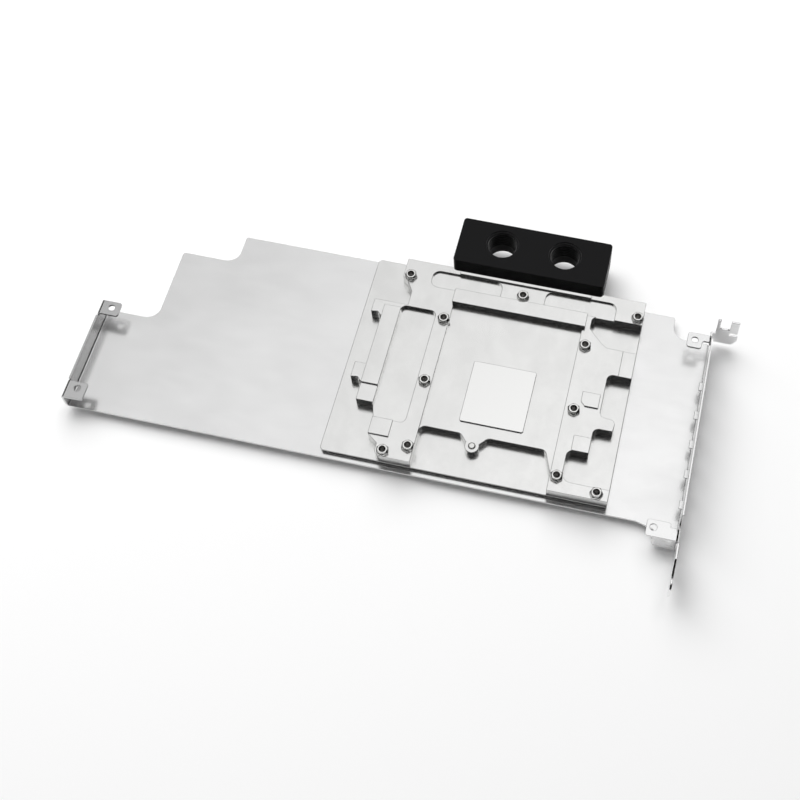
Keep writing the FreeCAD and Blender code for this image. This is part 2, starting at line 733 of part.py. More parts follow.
def make_terminal():
    """Moulded and threaded connection block, with a lip that lies on the cold plate's back edge."""
    body = new_body("terminal")
    left, right = s.terminal_middle - s.terminal_half, s.terminal_middle + s.terminal_half
    side = [
        (s.block_back, s.terminal_low), (s.terminal_back, s.terminal_low),
        (s.terminal_back, s.terminal_high), (s.terminal_front, s.terminal_high),
        (s.terminal_front, terminal_lip()), (s.block_back, terminal_lip()),
    ]
    pad(body, "Block", s.terminal_half * 2, left, "YZ_Plane", loops=[side])
    fronts = [(left, s.terminal_front), (right, s.terminal_front)]
    backs = [(left, s.terminal_back), (right, s.terminal_back)]
    round_corners(body, "Corners", fronts + backs, s.terminal_corner)
    ports = [((place, s.port_y), s.port_bore * 0.5) for place in port_places()]
    pocket(body, "Ports", s.terminal_high - s.terminal_low, s.terminal_high, circles=ports)
    rims = [((place, s.port_y), s.port_rim * 0.5) for place in port_places()]
    pocket(body, "TopRims", s.port_rim_depth, s.terminal_high, circles=rims)
    pocket(body, "LowRims", s.port_rim_depth, s.terminal_low, backwards=True, circles=rims)
    low, high = s.slot_centre_z - s.slot_height * 0.5, s.slot_centre_z + s.slot_height * 0.5
    for number, place in enumerate(port_places(), start=1):
        mouth = rectangle(place - s.slot_width * 0.5, place + s.slot_width * 0.5, low, high)
        reach = s.port_y - s.block_back
        pocket(body, f"Mouth{number}", reach, -s.block_back, "XZ_Plane", loops=[mouth])
        groove = seal_loops(place)
        pocket(body, f"SealGroove{number}", s.seal_squeeze, -s.block_back, "XZ_Plane", loops=groove)
        half_x = s.slot_width * 0.5 + 0.2 + s.seal_cord
        half_z = s.slot_height * 0.5 + 0.2 + s.seal_cord
        turns = [(place + x, s.slot_centre_z + z) for x in (half_x, -half_x) for z in (half_z, -half_z)]
        round_corners(body, f"SealGrooveRound{number}", turns, s.seal_corner, axis=1)
    screws = [((x, s.slot_centre_z), s.screw_shank * 0.5) for x in link_screw_places()]
    reach = s.terminal_back - s.block_back
    pocket(body, "ScrewHoles", reach, -s.terminal_back, "XZ_Plane", backwards=True, circles=screws)
    heads = [((x, s.slot_centre_z), s.screw_head * 0.5) for x in link_screw_places()]
    pocket(body, "ScrewHeads", link_head() + 0.4, -s.terminal_back, "XZ_Plane", backwards=True, circles=heads)
    return body


def terminal_lip():
    return s.cold_high + s.rib_rise


def link_head():
    return s.screw_shank


def make_standoff(number, x, y, turn):
    """Hexagonal standoff with a round boss, a tapped bore and a stud that screws into the cold plate."""
    body = new_body(f"standoff_{number:02d}")
    across = s.hex_flats * (1 / math.sqrt(3))
    corners = []
    for step in range(6):
        angle = math.radians(turn + 60 * step)
        corners.append((x + across * math.cos(angle), y + across * math.sin(angle)))
    pad(body, "Hexagon", s.hex_height, s.cold_high, loops=[corners])
    pad(body, "Boss", s.boss_height, s.cold_high + s.hex_height, circles=[((x, y), s.boss_width * 0.5)])
    pad(body, "Stud", s.stud_length, s.cold_high, backwards=True, circles=[((x, y), s.stud_width * 0.5)])
    top = s.cold_high + s.hex_height + s.boss_height
    pocket(body, "Bore", s.standoff_bore_depth, top, circles=[((x, y), s.standoff_bore * 0.5)])
    rim = circle_edges(body.Shape, (x, y), s.standoff_bore * 0.5, top)
    chamfer(body, "BoreRim", rim, s.thread_edge)
    return body


def make_screw(spot, along, shank, head, length, sink, sloped):
    """A screw with its head at the spot, its drive socket there and its shank along the given way."""
    top_radius = shank / 2 if sloped else head / 2
    if sloped:
        solid = Part.makeCone(head / 2, top_radius, sink, spot, along)
    else:
        solid = Part.makeCylinder(head / 2, sink, spot, along)
    solid = solid.fuse(Part.makeCylinder(shank / 2, length, spot, along)).removeSplitter()
    reach = s.drive_width.amount / math.sqrt(3)
    side = along.cross(FreeCAD.Vector(1, 0, 0)).normalize()
    other = along.cross(side)
    corners = []
    for turn in range(7):
        angle = turn * math.pi / 3
        corners.append(spot + (side * math.cos(angle) + other * math.sin(angle)) * reach)
    socket = Part.Face(Part.makePolygon(corners)).extrude(along * s.drive_depth.amount)
    return solid.cut(socket)


def add_screws(label, solids):
    """Like screws share one node as separate solids."""
    feature = doc.addObject("Part::Feature", label)
    feature.Label = label
    feature.Shape = Part.makeCompound(solids) if len(solids) > 1 else solids[0]
    feature.Placement = FreeCAD.Placement()
    return feature


def spot_of(x, y, z):
    return FreeCAD.Vector(*[as_size(item).amount for item in (x, y, z)])


def make_fasteners():
    """Block screws and cover screws from below, the centre screw, and the terminal's long screws."""
    up = FreeCAD.Vector(0, 0, 1)
    shank, head, sink = s.screw_shank.amount, s.screw_head.amount, s.screw_head_depth.amount
    block = [
        make_screw(spot_of(x, y, s.sheet_wall), up, shank, head, s.screw_length.amount, sink, False)
        for x, y in block_screw_spots()
    ]
    cover = [
        make_screw(spot_of(x, y, 0), up, s.cover_screw_shank.amount, cover_head().amount,
                   s.cover_screw_length.amount, s.cover_screw_sink.amount, True)
        for x, y in cover_screw_spots()
    ]
    reach = (s.central_high - s.sheet_wall + s.tip_rise).amount
    centre = make_screw(spot_of(s.lobe_x, s.lobe_y, s.sheet_wall), up, shank, head, reach, sink, False)
    back = s.terminal_back - 0.4
    reach = (back - s.block_back + s.link_screw_depth).amount
    links = [
        make_screw(spot_of(x, back, s.slot_centre_z), FreeCAD.Vector(0, -1, 0), shank, head,
                   reach, link_head().amount, False)
        for x in link_screw_places()
    ]
    return [
        add_screws("block_screws", block), add_screws("cover_screws", cover),
        add_screws("centre_screw", [centre]), add_screws("terminal_screws", links),
    ]


def cover_head():
    return s.cover_screw_shank + s.cover_screw_sink * 2


def make_cover_sheet():
    """One folded stainless sheet: stepped outline, upright left wall, and two tabs on top of the wall."""
    body = new_body("cover_sheet")
    outline = [
        (s.fold_x, s.sheet_front), (s.sheet_tail_x, s.sheet_front), (s.foot_x, s.sheet_front - 2.0),
        (s.foot_x, s.foot_y), (s.bracket_x, s.foot_y), (s.bracket_x, s.sheet_right_back),
        (s.sheet_nose_x, s.sheet_right_back), (s.sheet_nose_x, s.sheet_back),
        (s.shoulder_x, s.sheet_back), (s.shoulder_x, s.sheet_shoulder),
        (s.step_x, s.sheet_shoulder), (s.step_x, s.strip_edge), (s.fold_x, s.strip_edge),
    ]
    pad(body, "Sheet", s.sheet_wall, loops=[outline])
    inner = s.fold_x + s.sheet_wall
    bend_low = s.tab_high - s.tab_bend - s.sheet_wall - s.tab_relief * 0.5
    wall = rectangle(s.fold_x, inner, s.zero, bend_low)
    pad(body, "Wall", s.strip_edge - s.sheet_front, -s.strip_edge, "XZ_Plane", loops=[wall])
    crest = rectangle(s.fold_x, inner, bend_low - 1.0, s.fold_high)
    start = s.tab_width + s.tab_relief - s.strip_edge
    reach = -s.sheet_front - s.lower_tab_width - s.tab_relief - start
    pad(body, "Crest", reach, start, "XZ_Plane", loops=[crest])
    low = s.tab_high - s.sheet_wall
    end = s.fold_x + s.tab_length
    hook = [
        (s.fold_x, bend_low - 1.0), (inner, bend_low - 1.0), (inner, low),
        (end, low), (end, s.tab_high), (s.fold_x, s.tab_high),
    ]
    pad(body, "UpperTab", s.tab_width, -s.strip_edge, "XZ_Plane", loops=[hook])
    pad(body, "LowerTab", s.lower_tab_width, -s.sheet_front, "XZ_Plane", backwards=True, loops=[hook])
    round_corners(body, "TabBendOut", [(s.fold_x, s.tab_high)], s.tab_bend + s.sheet_wall, axis=1)
    round_corners(body, "TabBendIn", [(inner, low)], s.tab_bend, axis=1)
    round_corners(body, "FoldOut", [(s.fold_x, s.zero)], s.fold_inner + s.sheet_wall, axis=1)
    round_corners(body, "FoldIn", [(inner, s.sheet_wall)], s.fold_inner, axis=1)
    ends = [(end, s.strip_edge), (end, s.strip_edge - s.tab_width)]
    ends += [(end, s.sheet_front), (end, s.sheet_front + s.lower_tab_width)]
    outer = [(s.sheet_nose_x, s.sheet_back), (s.sheet_tail_x, s.sheet_front), (s.foot_x, s.foot_y)]
    outer += [(s.shoulder_x, s.sheet_back), (s.step_x, s.sheet_shoulder)]
    round_corners(body, "SmallCorners", ends + outer, s.corner_small)
    hollow = [(s.shoulder_x, s.sheet_shoulder), (s.step_x, s.strip_edge)]
    hollow += [(s.sheet_nose_x, s.sheet_right_back)]
    round_corners(body, "LargeCorners", hollow, s.corner_large)
    bores = [((s.tab_bore_x, row), s.tab_bore * 0.5) for row in (s.upper_bore_y, s.lower_bore_y)]
    pocket(body, "TabBores", s.sheet_wall, s.tab_high, circles=bores)
    holes = [(spot, s.cover_screw_shank * 0.5) for spot in cover_screw_spots()]
    pocket(body, "CoverHoles", s.sheet_wall, s.sheet_wall, circles=holes)
    rims = []
    for spot in cover_screw_spots():
        rims += circle_edges(body.Shape, spot, s.cover_screw_shank * 0.5, s.zero)
    chamfer(body, "Countersinks", rims, s.cover_screw_sink)
    return body


def make_io_bracket():
    """Single-slot bracket: upright blade with display openings, screw flange, tongue and two tabs."""
    body = new_body("io_bracket")
    half = s.tongue_width * 0.5
    step = s.bracket_tab_high - s.bracket_wall - s.tab_bend - 0.1
    blade = [
        (s.flange_y, s.neck_low), (s.flange_y, s.neck_high),
        (s.upper_tab_back, s.neck_high), (s.upper_tab_back, s.bracket_tab_high),
        (s.upper_neck, s.bracket_tab_high), (s.upper_neck, step),
        (s.upper_gap, step), (s.upper_gap, s.bracket_high),
        (s.lower_gap_back, s.bracket_high), (s.lower_gap_back, step),
        (s.lower_neck, step), (s.lower_neck, s.bracket_tab_high),
        (s.lower_tab_low, s.bracket_tab_high), (s.lower_tab_low, step),
        (s.lower_gap_front, step), (s.lower_gap_front, s.bracket_high),
        (s.blade_shoulder_y, s.bracket_high), (s.tongue_y, s.tongue_z + half),
        (s.tongue_tip_y, s.tongue_z + half), (s.tongue_tip_y, s.tongue_z - half),
        (s.tongue_y, s.tongue_z - half), (s.blade_shoulder_y, s.zero),
        (s.upper_tab_back, s.zero), (s.upper_tab_back, s.neck_low),
    ]
    pad(body, "Blade", s.bracket_wall, s.bracket_x, "YZ_Plane", loops=[blade])
    tips = [(s.tongue_tip_y, s.tongue_z + half), (s.tongue_tip_y, s.tongue_z - half)]
    round_corners(body, "TongueTip", tips, s.tongue_width * 0.3, axis=0)
    bx = s.bracket_x
    flange = [
        (bx, s.neck_low), (bx + s.flange_root, s.neck_low), (bx + s.flange_root, s.zero),
        (bx + s.flange_reach - 1.6, s.zero), (bx + s.flange_reach + 0.4, s.neck_low + 1.3),
        (bx + s.flange_reach + 0.4, s.bite_low), (bx + s.slot_right + 0.3, s.bite_low),
        (bx + s.slot_right + 0.3, s.bite_high), (bx + s.flange_reach, s.bite_high),
        (bx + s.flange_reach, s.bracket_high), (bx + s.slot_right, s.bracket_high),
        (bx + s.slot_right, s.slot_floor), (bx + s.slot_left, s.slot_floor),
        (bx + s.slot_left, s.bracket_high), (bx + s.flange_root, s.bracket_high),
        (bx + s.flange_root, s.neck_high), (bx, s.neck_high),
    ]
    pad(body, "Flange", s.bracket_wall, -s.flange_y, "XZ_Plane", loops=[flange])
    floor = [(bx + s.slot_right, s.slot_floor), (bx + s.slot_left, s.slot_floor)]
    round_corners(body, "SlotFloor", floor, s.bracket_wall, axis=1)
    low = s.bracket_tab_high - s.bracket_wall
    upper = [
        (s.upper_tab_left, s.upper_tab_low), (s.neck_x, s.upper_tab_low), (s.neck_x, s.upper_neck),
        (bx, s.upper_neck), (bx, s.upper_tab_back), (s.upper_tab_left, s.upper_tab_back),
    ]
    pad(body, "UpperTab", s.bracket_wall, low, loops=[upper])
    lower = [
        (s.lower_tab_left, s.lower_tab_low), (bx, s.lower_tab_low), (bx, s.lower_neck),
        (s.neck_x, s.lower_neck), (s.neck_x, s.lower_tab_back), (s.lower_tab_left, s.lower_tab_back),
    ]
    pad(body, "LowerTab", s.bracket_wall, low, loops=[lower])
    ends = [(s.upper_tab_left, s.upper_tab_low), (s.upper_tab_left, s.upper_tab_back)]
    ends += [(s.lower_tab_left, s.lower_tab_low), (s.lower_tab_left, s.lower_tab_back)]
    ends += [(s.neck_x, s.upper_tab_low), (s.neck_x, s.upper_neck), (s.neck_x, s.lower_tab_back)]
    round_corners(body, "TabCorners", ends, s.corner_small)
    bends = [(bx + s.bracket_wall, s.bracket_tab_high)]
    round_corners(body, "TabBendOut", bends, s.tab_bend + s.bracket_wall, axis=1)
    round_corners(body, "TabBendIn", [(bx, low)], s.tab_bend, axis=1, high=s.upper_tab_back.amount)
    bores = [((s.upper_tab_x, s.upper_tab_y), s.tab_bore * 0.5)]
    bores += [((s.lower_tab_x, s.lower_tab_y), s.tab_bore * 0.5)]
    pocket(body, "TabBores", s.bracket_wall, s.bracket_tab_high, circles=bores)
    window = rectangle(
        s.port_hole_first - s.port_hole_length, s.port_hole_first, s.port_hole_low, s.port_hole_high)
    cut = pocket(body, "DisplayHole", s.bracket_wall, bx + s.bracket_wall, "YZ_Plane", loops=[window])
    row = body.newObject("PartDesign::LinearPattern", "DisplayHoles")
    row.Originals = [cut]
    row.Direction = (cut.Profile[0], ["H_Axis"])
    row.Reversed = True
    bind(row, "Length", s.port_hole_pitch * (s.port_hole_count - 1))
    bind(row, "Occurrences", s.port_hole_count)
    body.Tip = row
    doc.recompute()
    middle = s.port_hole_first - s.port_hole_length * 0.5
    near, far = middle - s.finger_width * 0.5, middle + s.finger_width * 0.5
    lip = rectangle(bx - s.finger_reach, bx + s.bracket_wall, near, far)
    grown = pad(body, "Finger", s.finger_wall, s.port_hole_high - s.finger_wall, loops=[lip])
    row = body.newObject("PartDesign::LinearPattern", "Fingers")
    row.Originals = [grown]
    row.Direction = (grown.Profile[0], ["V_Axis"])
    row.Reversed = True
    bind(row, "Length", s.port_hole_pitch * (s.port_hole_count - 1))
    bind(row, "Occurrences", s.port_hole_count)
    body.Tip = row
    doc.recompute()
    return body


def check(item):
    """Stops on a failed feature, a bad shape or the wrong number of solids."""
    parts = item.Group if item.isDerivedFrom("PartDesign::Body") else [item]
    for part in [item, *parts]:
        if "Invalid" in part.State or "Error" in part.State:
            raise RuntimeError(f"{item.Label} has a failed object: {part.Name} {part.State}")
    shape = item.Shape
    if shape.isNull() or not shape.isValid() or not shape.Solids:
        raise RuntimeError(f"{item.Label} has no sound shape")
    if item.isDerivedFrom("PartDesign::Body") and len(shape.Solids) != 1:
        raise RuntimeError(f"{item.Label} has {len(shape.Solids)} solids")


made = [make_cover_sheet(), make_io_bracket()]
made += [make_cold_plate(), make_block_top(), make_jet_plate(), make_main_seal(), make_terminal()]
for label, place in zip(("inlet_seal", "outlet_seal"), port_places()):
    made.append(make_port_seal(label, place))
for number, (x, y, turn) in enumerate(STANDOFFS, start=1):
    made.append(make_standoff(number, getattr(s, x), getattr(s, y), turn))
made += make_fasteners()
doc.recompute()
for item in made:
    check(item)
os.makedirs("parts", exist_ok=True)
for item in made:
    item.Shape.exportStep(f"parts/{item.Label}.step")
    print(item.Label, len(item.Shape.Solids), round(item.Shape.Volume, 1))
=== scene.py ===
# %% [markdown]
# # A single-slot water block for a graphics card
# The block's solids come from its CAD model and stay where they are. This lesson gives each of them
# the finish of the real part, breaks the machined edges, cuts the threads, and sets up the studio.
# Lengths are in millimetres in the cells, and one factor turns them into metres.

# %% Start: the CAD frame
import json
import math

import bmesh
import bpy
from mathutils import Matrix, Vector


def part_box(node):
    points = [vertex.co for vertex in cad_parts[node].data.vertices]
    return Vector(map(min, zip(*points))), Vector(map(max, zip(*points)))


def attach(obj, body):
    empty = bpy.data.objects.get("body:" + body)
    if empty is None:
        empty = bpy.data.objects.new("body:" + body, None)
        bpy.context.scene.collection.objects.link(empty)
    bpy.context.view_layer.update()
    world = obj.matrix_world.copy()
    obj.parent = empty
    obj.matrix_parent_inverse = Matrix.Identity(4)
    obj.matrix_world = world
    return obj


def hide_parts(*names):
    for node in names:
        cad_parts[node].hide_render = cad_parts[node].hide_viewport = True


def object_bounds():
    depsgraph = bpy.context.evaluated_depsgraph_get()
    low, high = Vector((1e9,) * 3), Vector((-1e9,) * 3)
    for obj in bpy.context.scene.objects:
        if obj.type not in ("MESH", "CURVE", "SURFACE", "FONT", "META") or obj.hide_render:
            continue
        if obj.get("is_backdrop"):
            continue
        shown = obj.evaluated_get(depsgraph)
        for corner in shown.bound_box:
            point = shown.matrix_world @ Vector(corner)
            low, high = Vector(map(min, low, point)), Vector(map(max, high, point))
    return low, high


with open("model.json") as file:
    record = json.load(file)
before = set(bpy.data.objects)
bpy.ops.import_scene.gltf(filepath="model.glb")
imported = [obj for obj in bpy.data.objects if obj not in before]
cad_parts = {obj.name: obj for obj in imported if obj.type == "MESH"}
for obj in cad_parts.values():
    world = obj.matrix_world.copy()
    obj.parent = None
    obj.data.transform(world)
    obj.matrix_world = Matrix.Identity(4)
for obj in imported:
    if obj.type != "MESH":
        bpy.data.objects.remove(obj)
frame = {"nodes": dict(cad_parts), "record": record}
nodes = frame["nodes"]
cad_low, cad_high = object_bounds()
MM = 0.001
print(len(nodes), "nodes, from", cad_low, "to", cad_high)


# %% [markdown]
# ## Small tools
# A colour is written as the sRGB hex that a person would pick, and is turned into the linear values
# that a shader works with. Every material is a small graph of nodes. One function, `add`, puts a
# node into it, so that each graph below reads from top to bottom.

# %% Colour
def linear(hex_colour):
    """Linear red, green, blue and alpha of an sRGB colour such as "c8c9ca"."""
    channels = []
    for start in (0, 2, 4):
        value = int(hex_colour[start:start + 2], 16) / 255
        channels.append(value / 12.92 if value <= 0.04045 else ((value + 0.055) / 1.055) ** 2.4)
    return (*channels, 1.0)


print("mid grey in linear light:", round(linear("808080")[0], 3))


# %% [markdown]
# A socket is named by its label, with an underscore for a space. Nodes such as Math have several
# sockets of one label, so these are named by number, as in_0 and in_1.

# %% Nodes
def new_material(name):
    """An empty node material, with its Principled shader."""
    material = bpy.data.materials.new(name)
    material.use_nodes = True
    return material, material.node_tree.nodes["Principled BSDF"]


def add(material, kind, settings=None, **sockets):
    """One more node: settings are its own properties, sockets are input values or outputs to join."""
    node = material.node_tree.nodes.new("ShaderNode" + kind)
    for name, value in (settings or {}).items():
        setattr(node, name, value)
    for name, value in sockets.items():
        join(material, node, name, value)
    return node


def join(material, node, name, value):
    """Sets one input, or links an output to it."""
    key = int(name[3:]) if name.startswith("in_") else name.replace("_", " ")
    socket = node.inputs[key]
    if isinstance(value, bpy.types.NodeSocket):
        material.node_tree.links.new(value, socket)
    else:
        socket.default_value = value


def grain(material, size_mm, detail, stretch=(1, 1, 1), rough=0.5):
    """A cloudy pattern of a real size that stays with the part, as a value around 0.5."""
    point = add(material, "NewGeometry").outputs["Position"]
    place = add(material, "Mapping", Vector=point, Scale=stretch).outputs[0]
    scale = 1 / (size_mm * MM)
    return add(material, "TexNoise", Vector=place, Scale=scale, Detail=detail, Roughness=rough).outputs[0]


MULTIPLY = {"operation": "MULTIPLY"}
ADD = {"operation": "ADD"}
SUBTRACT = {"operation": "SUBTRACT"}
LARGER = {"operation": "MAXIMUM"}
COLOURS = {"data_type": "RGBA"}
print("helpers ready")


# %% [markdown]
# ## Stainless sheet
# The cover is cold-rolled stainless sheet. Rolling gives it a satin skin with a faint grain along
# its length, and handling leaves wide soft blotches, so its mirror images are blurred and uneven.
# The real grain is finer than 0.05 mm and would not show, so it is drawn 0.4 mm wide. The folded end
# rises from the sheet, and a ramp over the height paints it a darker colour, painted shade on its walls.

# %% Stainless sheet
RAISED_SHADE_START = 1.2
RAISED_SHADE_FULL = 2.5
BLOTCH_SIZE = 46
SMEAR_SIZE = 7
GRAIN_SIZE = 0.4


def make_stainless(name, colour, dull, raised_shade_colour, low_rough, high_rough):
    material, shader = new_material(name)
    blotch = grain(material, BLOTCH_SIZE, 2.0)
    smear = grain(material, SMEAR_SIZE, 3.0, stretch=(0.4, 1, 1), rough=0.6)
    rolled = grain(material, GRAIN_SIZE, 2.0, stretch=(0.03, 1, 1), rough=0.6)
    blotch = add(material, "Math", MULTIPLY, in_0=blotch, in_1=0.6).outputs[0]
    smear = add(material, "Math", MULTIPLY, in_0=smear, in_1=0.4).outputs[0]
    tone = add(material, "Math", ADD, in_0=blotch, in_1=smear).outputs[0]

    share = add(material, "MapRange", in_0=tone, in_1=0.36, in_2=0.66, in_3=0.0, in_4=1.0).outputs[0]
    skin = add(material, "Mix", COLOURS, in_0=share, in_6=linear(dull), in_7=linear(colour)).outputs[2]
    point = add(material, "NewGeometry").outputs["Position"]
    height = add(material, "SeparateXYZ", Vector=point).outputs[2]
    # Painted shade: the folded end, above the sheet, is darkened by its height.
    raised_shade_amount = add(
        material, "MapRange", in_0=height, in_1=RAISED_SHADE_START * MM, in_2=RAISED_SHADE_FULL * MM,
        in_3=0.0, in_4=1.0).outputs[0]
    whole = add(material, "Mix", COLOURS, in_0=raised_shade_amount, in_6=skin, in_7=linear(raised_shade_colour)).outputs[2]
    sheen = add(
        material, "MapRange", in_0=tone, in_1=0.35, in_2=0.65,
        in_3=high_rough, in_4=low_rough).outputs[0]
    lines = add(material, "Bump", Height=rolled, Distance=0.002 * MM, Strength=0.4).outputs[0]

    join(material, shader, "Base_Color", whole)
    join(material, shader, "Metallic", 1.0)
    join(material, shader, "Roughness", sheen)
    join(material, shader, "Normal", lines)
    return material


stainless = make_stainless("Cold-rolled stainless sheet", "f2f2f2", "ededed", "cccccc", 0.22, 0.27)
stainless_bracket = make_stainless("Stainless bracket strip", "f2f2f2", "ebebeb", "efefef", 0.20, 0.26)
print(stainless.name, "and", stainless_bracket.name)


# %% [markdown]
# ## Nickel plate
# The cold plate is milled copper, and the plate under it milled brass. Both have bright nickel over
# them, which evens out the tool marks and leaves a soft cloudy mirror. The pad that presses on the
# processor is lapped first, so it is smoother and lighter than the rest. It is told from the rest by
# its place: a square about the part's origin, above the floor round it.

# %% Nickel plate
PAD_EDGE = 15.2
PAD_FLOOR = 7.5
SOFT_STEP = 0.2
CLOUD_SIZE = 9
FINE_SIZE = 1.6


def processor_pad(material):
    """1 on the top of the raised pad for the processor, and 0 elsewhere."""
    point = add(material, "NewGeometry").outputs["Position"]
    place = add(material, "SeparateXYZ", Vector=point)
    across = add(material, "Math", {"operation": "ABSOLUTE"}, in_0=place.outputs[0]).outputs[0]
    along = add(material, "Math", {"operation": "ABSOLUTE"}, in_0=place.outputs[1]).outputs[0]
    reach = add(material, "Math", LARGER, in_0=across, in_1=along).outputs[0]
    inside = add(
        material, "MapRange", in_0=reach, in_1=PAD_EDGE * MM, in_2=(PAD_EDGE + SOFT_STEP) * MM,
        in_3=1.0, in_4=0.0).outputs[0]
    above = add(
        material, "MapRange", in_0=place.outputs[2], in_1=PAD_FLOOR * MM, in_2=(PAD_FLOOR + SOFT_STEP) * MM,
        in_3=0.0, in_4=1.0).outputs[0]
    return add(material, "Math", MULTIPLY, in_0=inside, in_1=above).outputs[0]


def make_nickel(name, colour, shade, rough, marks):
    material, shader = new_material(name)
    cloud = grain(material, CLOUD_SIZE, 4.0, stretch=(1, 0.7, 1), rough=0.55)
    fine = grain(material, FINE_SIZE, 3.0)
    lapped = processor_pad(material)

    share = add(material, "MapRange", in_0=cloud, in_1=0.35, in_2=0.65, in_3=0.0, in_4=1.0).outputs[0]
    plated = add(material, "Mix", COLOURS, in_0=share, in_6=linear(shade), in_7=linear(colour)).outputs[2]
    whole = add(material, "Mix", COLOURS, in_0=lapped, in_6=plated, in_7=linear("f3f3f2")).outputs[2]
    satin = add(material, "MapRange", in_0=fine, in_1=0.3, in_2=0.7, in_3=rough, in_4=rough + 0.05).outputs[0]
    smoother = add(material, "Math", MULTIPLY, in_0=lapped, in_1=0.06).outputs[0]
    sheen = add(material, "Math", SUBTRACT, in_0=satin, in_1=smoother).outputs[0]
    ripple = add(material, "Bump", Height=fine, Distance=0.003 * MM, Strength=marks).outputs[0]

    join(material, shader, "Base_Color", whole)
    join(material, shader, "Metallic", 1.0)
    join(material, shader, "Roughness", sheen)
    join(material, shader, "Normal", ripple)
    return material


nickel = make_nickel("Nickel plate on milled copper", "ededec", "e7e7e6", 0.20, 0.4)
nickel_base = make_nickel("Nickel plate on milled brass", "ededec", "e7e7e6", 0.21, 0.4)
nickel_turned = make_nickel("Nickel plate on turned brass", "f0f0ee", "e6e6e4", 0.12, 0.2)
print(nickel.name, nickel_base.name, nickel_turned.name)


# %% [markdown]
# ## Acetal, rubber and screws
# The terminal is milled from black acetal, which is matt and hardly mirrors anything, so its gloss is
# turned down. The seals are moulded nitrile rubber. The screws are stainless or blackened steel. A
# darker metal paints shade into the bores of the standoffs and onto the screw tip's chamfer. These
# finishes differ in a few numbers only, so they share one graph with a fine grain.

# %% Acetal, rubber and screws
def make_plain(name, colour, shade, rough, metallic=0.0, size_mm=1.2, depth_mm=0.01, gloss=0.5):
    material, shader = new_material(name)
    fine = grain(material, size_mm, 4.0, rough=0.6)
    tint = add(material, "Mix", COLOURS, in_0=fine, in_6=linear(shade), in_7=linear(colour)).outputs[2]
    sheen = add(material, "MapRange", in_0=fine, in_1=0.3, in_2=0.7, in_3=rough, in_4=rough + 0.08).outputs[0]
    texture = add(material, "Bump", Height=fine, Distance=depth_mm * MM, Strength=0.5).outputs[0]

    join(material, shader, "Base_Color", tint)
    join(material, shader, "Metallic", metallic)
    join(material, shader, "Roughness", sheen)
    join(material, shader, "Normal", texture)
    join(material, shader, "Specular_IOR_Level", gloss)
    return material


acetal = make_plain("Black acetal", "0e0e0f", "0b0b0c", 0.42, size_mm=0.8, depth_mm=0.012, gloss=0.16)
rubber = make_plain("Nitrile rubber", "191919", "101010", 0.55)
steel = make_plain("Stainless screw", "ececea", "e2e2e0", 0.2, metallic=1.0)
black_steel = make_plain("Blackened screw", "1e1e20", "151517", 0.34, metallic=1.0)
# Painted shade: a darker metal for the standoffs' bores and the screw tip's chamfer.
painted_shade_metal = make_plain("Painted shade metal for bores and chamfers", "cbcac8", "b2b1af", 0.3, metallic=1.0, size_mm=0.5)
inner_steel = make_plain("Thin stainless plate", "c0c0bf", "b6b6b5", 0.28, metallic=1.0)
print(acetal.name, rubber.name, steel.name, black_steel.name, painted_shade_metal.name, inner_steel.name)


# %% [markdown]
# ## Dressing the solids
# Each node gets the finish of the real piece. The standoffs aren't listed, because they all have the
# nickel of turned brass.

# %% Finishes
FINISH = {
    "cover_sheet": stainless,
    "io_bracket": stainless_bracket,
    "cold_plate": nickel,
    "block_top": nickel_base,
    "jet_plate": inner_steel,
    "main_seal": rubber,
    "inlet_seal": rubber,
    "outlet_seal": rubber,
    "terminal": acetal,
    "block_screws": steel,
    "cover_screws": black_steel,
    "centre_screw": steel,
    "terminal_screws": black_steel,
}
for name, node in nodes.items():
    material = FINISH.get(name, nickel_turned)
    node.data.materials.clear()
    node.data.materials.append(material)
    print(f"{name:16} {material.name}")


# %% [markdown]
# ## Broken edges
# No machined or punched edge is razor sharp. A bevel modifier on the solid would change its mesh, so
# a copy of each solid gets narrow rounded edges and stands in for it. Its flat faces are first joined
# up again, then every outer edge that turns by more than 35 degrees is bevelled. The normals lean on
# the large faces, so that these stay flat and only the edge catches the light.

# %% Bevelled copies of the solids
WELD = 0.0001
FLAT_ANGLE = math.radians(0.2)
BREAK_ANGLE = math.radians(35)
SMOOTH_ANGLE = math.radians(50)


def planar_copy(name):
    """A node's mesh with its flat faces joined up."""
    mesh = bmesh.new()
    mesh.from_mesh(nodes[name].data)
    bmesh.ops.remove_doubles(mesh, verts=mesh.verts, dist=WELD * MM)
    bmesh.ops.dissolve_limit(mesh, angle_limit=FLAT_ANGLE, verts=mesh.verts, edges=mesh.edges)
    return mesh


def show_mesh(name, mesh, material):
    """An object of a bmesh, smooth between faces that meet at less than 50 degrees."""
    for edge in mesh.edges:
        edge.smooth = len(edge.link_faces) != 2 or edge.calc_face_angle(0) < SMOOTH_ANGLE
    for face in mesh.faces:
        face.smooth = True
    data = bpy.data.meshes.new(name)
    mesh.to_mesh(data)
    mesh.free()
    item = bpy.data.objects.new(name, data)
    data.materials.append(material)
    bpy.context.scene.collection.objects.link(item)
    weighted = item.modifiers.new("flat faces", "WEIGHTED_NORMAL")
    weighted.keep_sharp = True
    weighted.weight = 100
    return item


def broken_edges(name, width_mm, material, steps=2):
    """A bevelled copy of one node, which stands in for it."""
    mesh = planar_copy(name)
    outer = [
        edge for edge in mesh.edges
        if len(edge.link_faces) == 2 and edge.is_convex and edge.calc_face_angle(0) > BREAK_ANGLE
    ]
    bmesh.ops.bevel(
        mesh, geom=outer, offset=width_mm * MM, offset_type="OFFSET", segments=steps, profile=0.5,
        affect="EDGES", clamp_overlap=False)
    item = show_mesh(name + "_edges", mesh, material)
    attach(item, "root")
    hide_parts(name)
    return item


